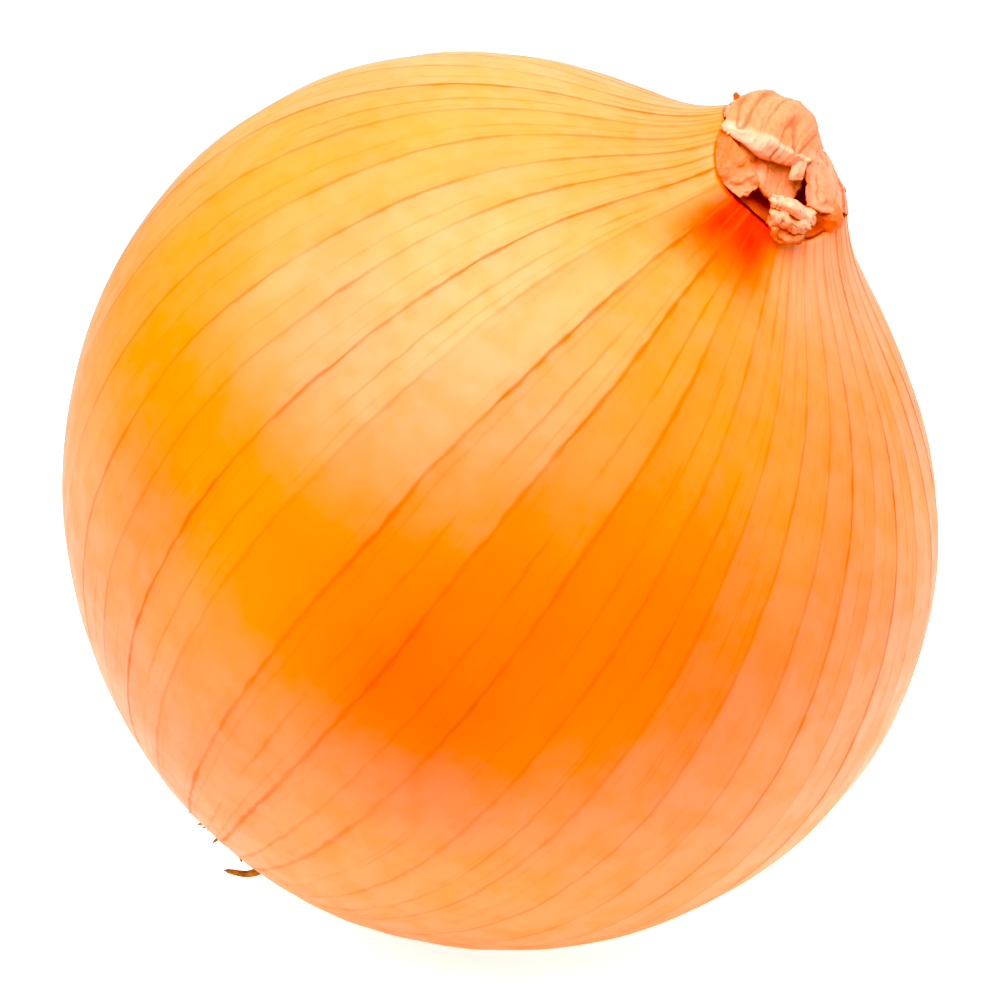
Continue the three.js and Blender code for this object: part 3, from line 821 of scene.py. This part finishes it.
def paper_sheet(
    name, place, cells, thickness, tones, seed, tear=0.05, crease=0.08, folds=(4.0, 0.25), rim=0.3
):
    """A dry sheet. Place turns shares across and down into points. The tones (pale, deep and amber) are
    numbers or rules of the shares. Folds are how many and how deep, and rim is how dark the edges are."""
    mesh, across, down = sheet_mesh(name, *cells)
    torn_down = ragged(down, across, tear, seed)
    torn_across = ragged(across, down, tear, seed + 5.0)
    set_vertices(mesh, place(torn_across, torn_down))
    mesh.flip_normals()
    lines, swell = fold_lines(across, down, folds[0], seed + 2.0)
    moved_out(mesh, folds[1] * (1.4 * swell - 0.6 * lines))
    shift = crinkled(mesh, ((1.5, crease), (0.5, crease * 0.5)), seed)
    edge = np.minimum.reduce([across, 1.0 - across, down, 1.0 - down])
    dark_edge = rim * (1.0 - smoothstep(edge, 0.0, 0.05))
    # Painted shade: the dips of the crinkles are darkened in the deep tone, which is also darker along the
    # fold lines and at the torn edges.
    valley_shade = 0.3 * smoothstep(-shift, 0.0, crease * 1.2)
    pale, deep, amber = (rule(across, down) if callable(rule) else rule for rule in tones)
    set_tone(mesh, pale, np.maximum.reduce([deep + 0.0 * across, valley_shade, 0.55 * lines, dark_edge]), amber)
    lay_uv(mesh, across, down)
    return thickened(mesh, thickness)


def spot(across, down, centre, size):
    return np.exp(-((across - centre[0]) ** 2 + (down - centre[1]) ** 2) / size**2)


def core_mesh():
    """The crumpled core of the neck, closed below at the bulb's dish."""
    core, upward, turn = ball_mesh("core", 90, 46)
    risen = clamped((upward - CORE_FOOT) / (1.0 - CORE_FOOT))
    level = np.where(upward < CORE_FOOT, 0.0, risen**0.8 * 2.0)
    azimuth = 360.0 * turn
    inner = clamped(upward / CORE_FOOT)[:, None]
    seat = np.array([0.0, 0.0, DISH_HEIGHT + SEAT_GAP])
    set_vertices(core, seat * (1.0 - inner) + neck_core_point(azimuth, level) * inner)
    crinkled(core, ((1.4, 0.12),), 31.0)
    # Painted shade: the core is deep red-brown all round, since it shows only in the gaps between the sheets;
    # beside the flap it is orange.
    beside_flap = smoothstep(cosine(azimuth - 185.0), 0.2, 0.8) * (1.0 - smoothstep(level, 0.9, 1.1))
    set_tone(core, 0.0, 1.0 - 0.95 * beside_flap, beside_flap)
    lay_uv(core, turn * 12.0, upward, turn_length=12.0)
    return core


def wrap_mesh(number, thickness):
    """One dry sheet wrapped round the neck's side or back."""
    first, last, lower, upper, out = WRAPS[number]

    def around(across, down):
        azimuth = FRONT + first + (last - first) * across
        return neck_core_point(azimuth, upper + (lower - upper) * down, out * (0.55 + 0.45 * (1.0 - down)))

    name = f"wrap{number}"
    return paper_sheet(name, around, (80, 26), thickness, WRAP_TONES, 50.0 + number, folds=(9.0, 0.22))


def knob_mesh():
    """The small lump of dry skin at the neck's right."""
    knob = ball_mesh("knob", 32, 20)[0]
    ball = vertex_array(knob)
    rough = 1.0 + 0.22 * noise_at(ball, 0.7, 7.0)[:, None]
    spread = ball * rough * np.array(KNOB_SIZE)
    set_vertices(knob, facing_point(*(np.array(KNOB_PLACE) + spread).T))
    crinkled(knob, ((0.9, 0.12), (0.4, 0.05)), 33.0)
    set_tone(knob, *KNOB_TONES)
    lay_uv(knob, 0.5 + 0.5 * ball[:, 0], 0.5 + 0.5 * ball[:, 1])
    return knob


def laid_sheet(name, guides, cells, thickness, tones, seed, **settings):
    """A dry sheet that lies over its guide points."""
    def place(across, down):
        return facing_point(*guided(guides, across, down).T)

    return paper_sheet(name, place, cells, thickness, tones, seed, **settings)


# Painted highlight: the crown's rolled lower edge is bleached paler as if catching the light.
def hem_highlight(across, down):
    return smoothstep(down, 0.60, 0.66) * (1.0 - 0.45 * across)


def crown_pale_and_highlight(across, down):
    return np.maximum(hem_highlight(across, down), 0.12 * across)


def crown_spots(across, down):
    return 0.6 * (spot(across, down, (0.07, 0.47), 0.05) + spot(across, down, (0.22, 0.37), 0.05))


def crown_amber(across, down):
    return 0.15 * (1.0 - hem_highlight(across, down))


def left_amber(across, down):
    return 1.0 - 0.7 * smoothstep(across, 0.6, 0.85)


def right_tear(across, down):
    return 0.9 * spot(across, 0.0, (0.5, 0.0), 0.035)


def neck_mesh(shape):
    paper = shape.paper_thickness / MM
    sheets = [core_mesh()]
    sheets += [wrap_mesh(number, paper) for number in range(len(WRAPS))]
    crown_tones = (crown_pale_and_highlight, crown_spots, crown_amber)
    # Painted light: the hollow sheet lies in the crown's shade, and is paler towards its top.
    hollow_tones_and_light = (lambda across, down: 1.0 - 0.8 * down, 0.0, lambda across, down: 0.4 * down)
    left_tones = (lambda across, down: 0.3 * down * across, 0.0, left_amber)
    for name, guides, cells, tones, seed, settings in (
        ("crown", CROWN, (72, 90), crown_tones, 1.0, {"tear": 0.02, "folds": (4.5, 0.3), "rim": 0.1}),
        ("hollow", HOLLOW, (50, 26), hollow_tones_and_light, 3.0, {"tear": 0.03, "folds": (6.0, 0.2)}),
        ("left_flap", LEFT_FLAP, (60, 24), left_tones, 4.0, {"tear": 0.04, "crease": 0.03, "rim": 0.15}),
        ("right_flap", RIGHT_FLAP, (60, 50), (0.4, right_tear, 0.15), 5.0,
         {"tear": 0.03, "folds": (7.0, 0.12), "rim": 0.35}),
        ("tab", TAB, (14, 14), (0.6, 0.0, 0.0), 6.0,
         {"tear": 0.06, "crease": 0.04, "folds": (2.0, 0.1), "rim": 0.8}),
        ("tip", TIP, (12, 16), (0.0, 1.0, 0.0), 7.0, {"tear": 0.08, "crease": 0.05, "folds": (2.0, 0.1)}),
    ):
        sheets.append(laid_sheet(name, guides, cells, paper, tones, seed, **settings))
    sheets.append(knob_mesh())
    return joined_mesh("neck_skins", sheets, shape)


# ---- leaf ends


CURLS = (
    (
        ((0.8, 35.0, 20.0), (2.1, 35.8, 20.0), (3.4, 36.3, 19.4), (4.9, 36.6, 18.2)),
        ((0.9, 34.5, 21.2), (2.3, 35.1, 21.2), (3.7, 35.6, 20.8), (5.3, 36.0, 19.4)),
        ((1.4, 34.0, 20.9), (2.6, 34.4, 21.2), (4.1, 34.8, 20.8), (5.6, 35.3, 19.5)),
    ),
    (
        ((1.3, 34.3, 20.2), (2.5, 34.6, 20.8), (3.8, 35.0, 20.4), (5.2, 35.4, 19.4)),
        ((1.6, 33.7, 21.2), (2.9, 33.9, 21.7), (4.2, 34.3, 21.4), (5.6, 34.9, 20.2)),
        ((2.2, 33.1, 20.9), (3.2, 33.1, 21.4), (4.4, 33.5, 21.1), (5.5, 34.2, 20.0)),
    ),
    (
        ((1.8, 33.6, 20.3), (2.8, 33.5, 20.9), (4.1, 33.6, 20.7), (5.5, 34.5, 19.5)),
        ((2.0, 33.0, 20.9), (3.0, 32.8, 21.4), (4.4, 32.8, 21.2), (5.8, 33.8, 19.9)),
        ((2.5, 32.6, 20.5), (3.3, 32.3, 20.9), (4.4, 32.3, 20.7), (5.5, 33.2, 19.7)),
    ),
)
CURL_TONES = ((0.75, 0.0, 0.0), (0.6, 0.05, 0.0), (0.2, 0.15, 0.2))
FIBRES_ACROSS = 26.0
PAPER_MOTTLE_SIZE = 0.003


def curls_mesh(shape):
    thickness = shape.paper_thickness / MM
    settings = {"crease": 0.09, "folds": (5.0, 0.28), "rim": 0.8}
    curls = [
        laid_sheet(f"curl{number}", guides, (44, 20), thickness, tones, 70.0 + number, **settings)
        for number, (guides, tones) in enumerate(zip(CURLS, CURL_TONES))
    ]
    return joined_mesh("leaf_curls", curls, shape)


def paper_material(name, colours, groups, seed):
    material, graph, shader = new_material(name, colours.paper, 0.7)
    here = graph.object_place()
    across, along = graph.leaf_place()
    tone = graph.add("ShaderNodeAttribute", attribute_name="tone").outputs["Color"]
    tones = graph.add("ShaderNodeSeparateColor", {"Color": tone}).outputs
    fibre_inputs = {"Across": across, "Along": along, "Count": FIBRES_ACROSS, "Seed": seed}
    fibres = graph.effect(groups["fibres"], fibre_inputs)
    mottle = graph.effect(groups["mottle"], {"Vector": here, "Size": PAPER_MOTTLE_SIZE})
    base = graph.mix(tones["Blue"], colours.paper, colours.paper_amber)
    pale = graph.math("MULTIPLY", tones["Red"], graph.times_plus(mottle["Value"], 0.5, 0.6), clamp=True)
    base = graph.mix(pale, base, colours.paper_pale_and_painted_light)
    streak = graph.smooth(fibres["Streak"], 0.46, 0.32, 0.0, 0.5)
    # The deep tone adds the torn edges and the painted shade of gaps and crinkles; the fibres add their
    # streaks.
    deep = graph.math("ADD", graph.times(tones["Green"], 1.2), streak, clamp=True)
    base = graph.mix(deep, base, colours.paper_brown_and_painted_shade)
    graph.put(shader.inputs["Base Color"], base)
    graph.put(shader.inputs["Roughness"], graph.times_plus(mottle["Fine"], 0.25, 0.5))
    height = graph.times_plus(fibres["Ridge"], 0.6, graph.times(mottle["Fine"], 0.4))
    graph.bump(shader, height, 0.5, 0.00012)
    return material


# ---- roots


GOLDEN_ANGLE = 137.508
PLATE_ANGLE = 6.4
ROOT_DEPTH = 0.86
ROOT_LENGTH = 2.65
ROOT_SHORTENING = 1.1
ROOT_RADII = (0.2, 0.34)
ROOT_TIP_RADIUS = 0.14
ROOT_BEND = 0.42
ROOT_PATH = (0.0, 0.25, 0.5, 0.75, 1.0)
ROOT_MOTTLE_SIZE = 0.0016
WISP = ((4.2, -2.5, -37.9), (4.5, -3.0, -39.6), (3.7, -3.2, -41.2), (1.7, -3.0, -42.4))
WISP_RADII = (0.46, 0.32)
ANY_SIDE = (0.31, 0.87, 0.38)


def unit(vectors):
    return vectors / np.linalg.norm(vectors, axis=-1, keepdims=True)


def tube(name, path, radii, sides=6, steps=10):
    """A closed tapered thread along a path of points."""
    mesh, upward, turn = ball_mesh(name, sides, steps)
    centre = through(path, upward)
    ahead = unit(through(path, clamped(upward + 0.02)) - through(path, clamped(upward - 0.02)))
    side = unit(np.cross(ahead, np.array(ANY_SIDE)))
    other = np.cross(ahead, side)
    rounding = np.sqrt(clamped(np.sin(math.pi * upward))) ** 0.5
    radius = (radii[0] + (radii[1] - radii[0]) * upward) * rounding
    angle = 2.0 * math.pi * turn[:, None]
    ring = side * np.cos(angle) + other * np.sin(angle)
    set_vertices(mesh, centre + ring * radius[:, None])
    lay_uv(mesh, turn, upward, turn_length=1.0)
    return mesh


def plate_mesh():
    """The corky plate that the roots grow from."""
    plate, upward, turn = ball_mesh("plate", 72, 24)
    ring = np.sin(math.pi * upward)
    azimuth = 360.0 * turn
    below = upward < 0.5
    out = np.where(below, 1.05, 0.25) * np.sqrt(clamped(1.0 - ring**3)) + 0.25
    places = skin_point(PLATE_ANGLE * ring, azimuth, out)
    places = places + noise_at(places, 0.9, 3.0)[:, None] * 0.22 * np.array([0.4, 0.4, 1.0])
    set_vertices(plate, places)
    lay_uv(plate, turn * 6.0, upward, turn_length=6.0)
    return plate


def rootlet_mesh(share, azimuth, chance):
    """One dry root, from its share of the way out from the plate's middle and its azimuth."""
    start = skin_point(np.array([PLATE_ANGLE * ROOT_DEPTH * share]), np.array([azimuth]), np.array([0.8]))[0]
    splay = share * 0.8 + chance.uniform(-0.25, 0.25)
    outward = np.array([math.cos(math.radians(azimuth)), math.sin(math.radians(azimuth)), 0.0])
    heading = unit(np.array([0.0, 0.0, -1.0]) + outward * splay)
    facing = max(0.0, -outward[1]) * share
    length = chance.uniform(0.8, 1.2) * (ROOT_LENGTH - ROOT_SHORTENING * facing)
    bend = np.array([chance.uniform(-1, 1), chance.uniform(-1, 1), chance.uniform(-0.3, 0.8)])
    path = [start + heading * length * t + bend * length * ROOT_BEND * t**2 for t in ROOT_PATH]
    return tube("rootlet", path, (chance.uniform(*ROOT_RADII), ROOT_TIP_RADIUS))


def roots_mesh(shape):
    chance = random.Random(11)
    parts = [plate_mesh()]
    for number in range(shape.rootlets):
        share = math.sqrt((number + 0.5) / shape.rootlets)
        azimuth = number * GOLDEN_ANGLE + chance.uniform(-20.0, 20.0)
        parts.append(rootlet_mesh(share, azimuth, chance))
    parts.append(tube("wisp", WISP, WISP_RADII, steps=16))
    return joined_mesh("dry_roots", parts, shape)


def root_material(colours, groups):
    material, graph, shader = new_material("Dry Root", colours.root, 0.85)
    mottle = graph.effect(groups["mottle"], {"Vector": graph.object_place(), "Size": ROOT_MOTTLE_SIZE})
    graph.put(shader.inputs["Base Color"], graph.mix(mottle["Value"], colours.root, colours.root_cork))
    graph.put(shader.inputs["Roughness"], graph.times_plus(mottle["Fine"], 0.2, 0.72))
    graph.bump(shader, mottle["Fine"], 0.6, 0.00015)
    return material


# ---- stage


# The display's black levels, and the softbox's place from the bulb's centre.
BLACK_LEVEL = (0.0, 0.02, 0.06)
SENSOR_WIDTH = 36.0
SOFTBOX_PLACE = (-0.22, -0.35, 0.53)
SOFTBOX_NARROWING = 0.93

# The pale floor glows round a place under the onion, fading over a range of distances.
FLOOR_COLOUR = (0.80, 0.80, 0.80)
FLOOR_ROUGHNESS = 0.7
GLOW_PLACE = (0.01, 0.02, 0.0)
GLOW_FADE = (0.02, 0.10)

# The surround grows brighter towards one side and is dimmed round another, each by the turn from that side.
WHITE = (1.0, 1.0, 1.0, 1.0)
BRIGHT_SIDE = (0.60, 0.75, -0.10)
BRIGHT_TURN = (-0.35, 0.85)
BRIGHTNESS = (0.04, 2.0)
DIM_SIDE = (0.75, 0.0, 0.66)
DIM_TURN = (0.90, 0.98)
DIMNESS = (1.0, 0.25)


def lay_floor(stage):
    bm = bmesh.new()
    bmesh.ops.create_grid(bm, x_segments=1, y_segments=1, size=stage.floor_size)
    bmesh.ops.translate(bm, vec=(0.0, stage.floor_size - stage.floor_front, 0.0), verts=bm.verts[:])
    floor = linked_object("floor", mesh_from(bm, "floor"))
    uniform = {"Emission Color": WHITE}
    material, graph, shader = new_material("Pale Floor", FLOOR_COLOUR, FLOOR_ROUGHNESS, uniform)
    away = graph.vector_value("DISTANCE", graph.object_place(), GLOW_PLACE)
    graph.put(shader.inputs["Emission Strength"], graph.smooth(away, *GLOW_FADE, stage.floor_glow, 0.0))
    floor.data.materials.append(material)


def studio_world():
    """An even white behind the onion, with a soft surround that only lights it."""
    world = bpy.data.worlds.new("studio")
    world.use_nodes = True
    graph = Graph(world.node_tree)
    background = world.node_tree.nodes["Background"]
    direction = graph.add("ShaderNodeTexCoord").outputs["Generated"]
    toward = graph.vector_value("DOT_PRODUCT", direction, BRIGHT_SIDE)
    aside = graph.vector_value("DOT_PRODUCT", direction, DIM_SIDE)
    surround = graph.smooth(toward, *BRIGHT_TURN, *BRIGHTNESS)
    surround = graph.times(surround, graph.smooth(aside, *DIM_TURN, *DIMNESS))
    seen = graph.add("ShaderNodeLightPath").outputs["Is Camera Ray"]
    strength = graph.times_plus(seen, graph.math("SUBTRACT", 1.0, surround), surround)
    graph.put(background.inputs["Strength"], strength)
    background.inputs["Color"].default_value = WHITE
    return world


# ---- operators


def tools_of(context):
    scene = context.scene
    return scene.onion_shape, scene.onion_colours, scene.onion_stage


def shared_groups():
    """The effect groups, made once and used by every material."""
    makers = {"Skin Veins": vein_group, "Leaf Fibres": fibre_group, "Soft Mottle": mottle_group}
    trees = {name: bpy.data.node_groups.get(name) or maker() for name, maker in makers.items()}
    return {"veins": trees["Skin Veins"], "fibres": trees["Leaf Fibres"], "mottle": trees["Soft Mottle"]}


class ONION_OT_bulb(bpy.types.Operator):
    """Builds the bulb in its ribbed skin."""

    bl_idname = "onion.bulb"
    bl_label = "Bulb"

    def execute(self, context):
        shape, colours, _ = tools_of(context)
        skin = skin_material(colours, shared_groups())
        placed_piece("bulb_skin", skin_mesh(shape), skin, "bulb")
        return {"FINISHED"}


class ONION_OT_neck(bpy.types.Operator):
    """Builds the dry, crumpled neck."""

    bl_idname = "onion.neck"
    bl_label = "Neck"

    def execute(self, context):
        shape, colours, _ = tools_of(context)
        paper = paper_material("Dry Neck", colours, shared_groups(), 1.0)
        placed_piece("neck_skins", neck_mesh(shape), paper, "neck_sheath")
        return {"FINISHED"}


class ONION_OT_leaf_ends(bpy.types.Operator):
    """Builds the curled ends of the inner leaves."""

    bl_idname = "onion.leaf_ends"
    bl_label = "Leaf Ends"

    def execute(self, context):
        shape, colours, _ = tools_of(context)
        paper = paper_material("Dry Leaf", colours, shared_groups(), 2.0)
        placed_piece("leaf_curls", curls_mesh(shape), paper, "inner_leaf_ends")
        return {"FINISHED"}


class ONION_OT_roots(bpy.types.Operator):
    """Builds the corky root plate and its dry roots."""

    bl_idname = "onion.roots"
    bl_label = "Roots"

    def execute(self, context):
        shape, colours, _ = tools_of(context)
        cork = root_material(colours, shared_groups())
        placed_piece("dry_roots", roots_mesh(shape), cork, "root_tuft")
        return {"FINISHED"}


class ONION_OT_stage(bpy.types.Operator):
    """Sets up the pale floor, the soft studio light and the camera."""

    bl_idname = "onion.stage"
    bl_label = "Stage"

    def execute(self, context):
        shape, _, stage = tools_of(context)
        scene = context.scene
        lay_floor(stage)
        scene.world = studio_world()

        centre = Vector((0.0, 0.0, shape.centre_height))
        lamp = bpy.data.lights.new("softbox", "AREA")
        lamp.shape = "RECTANGLE"
        lamp.size = stage.softbox_size
        lamp.size_y = stage.softbox_size * SOFTBOX_NARROWING
        lamp.energy = stage.softbox_power
        linked_object("softbox", lamp).location = centre + Vector(SOFTBOX_PLACE)

        lens = bpy.data.cameras.new("camera")
        lens.lens = stage.lens
        lens.sensor_width = SENSOR_WIDTH
        camera = linked_object("camera", lens)
        back = Vector((0.0, -math.cos(stage.elevation), math.sin(stage.elevation)))
        camera.location = centre + back * stage.distance
        camera.rotation_euler = back.to_track_quat("Z", "Y").to_euler()
        scene.camera = camera
        view = scene.view_settings
        view.view_transform = "Standard"
        view.use_curve_mapping = True
        view.curve_mapping.black_level = BLACK_LEVEL
        return {"FINISHED"}


class ONION_PT_panel(bpy.types.Panel):
    bl_idname = "ONION_PT_panel"
    bl_label = "Onion"
    bl_space_type = "VIEW_3D"
    bl_region_type = "UI"
    bl_category = "Onion"

    def draw(self, context):
        for operator in OPERATORS:
            self.layout.operator(operator.bl_idname)
        for group in tools_of(context):
            for name in group.bl_rna.properties.keys():
                if name not in ("rna_type", "name"):
                    self.layout.prop(group, name)


OPERATORS = (ONION_OT_stage, ONION_OT_bulb, ONION_OT_neck, ONION_OT_leaf_ends, ONION_OT_roots)
CLASSES = (OnionShape, OnionColours, OnionStage, *OPERATORS, ONION_PT_panel)


def register():
    for each in CLASSES:
        bpy.utils.register_class(each)
    bpy.types.Scene.onion_shape = bpy.props.PointerProperty(type=OnionShape)
    bpy.types.Scene.onion_colours = bpy.props.PointerProperty(type=OnionColours)
    bpy.types.Scene.onion_stage = bpy.props.PointerProperty(type=OnionStage)


def unregister():
    del bpy.types.Scene.onion_stage
    del bpy.types.Scene.onion_colours
    del bpy.types.Scene.onion_shape
    for each in reversed(CLASSES):
        bpy.utils.unregister_class(each)


def main():
    register()
    bpy.ops.onion.stage()
    bpy.ops.onion.bulb()
    bpy.ops.onion.neck()
    bpy.ops.onion.leaf_ends()
    bpy.ops.onion.roots()
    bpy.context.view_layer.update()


if __name__ == "__main__":
    main()
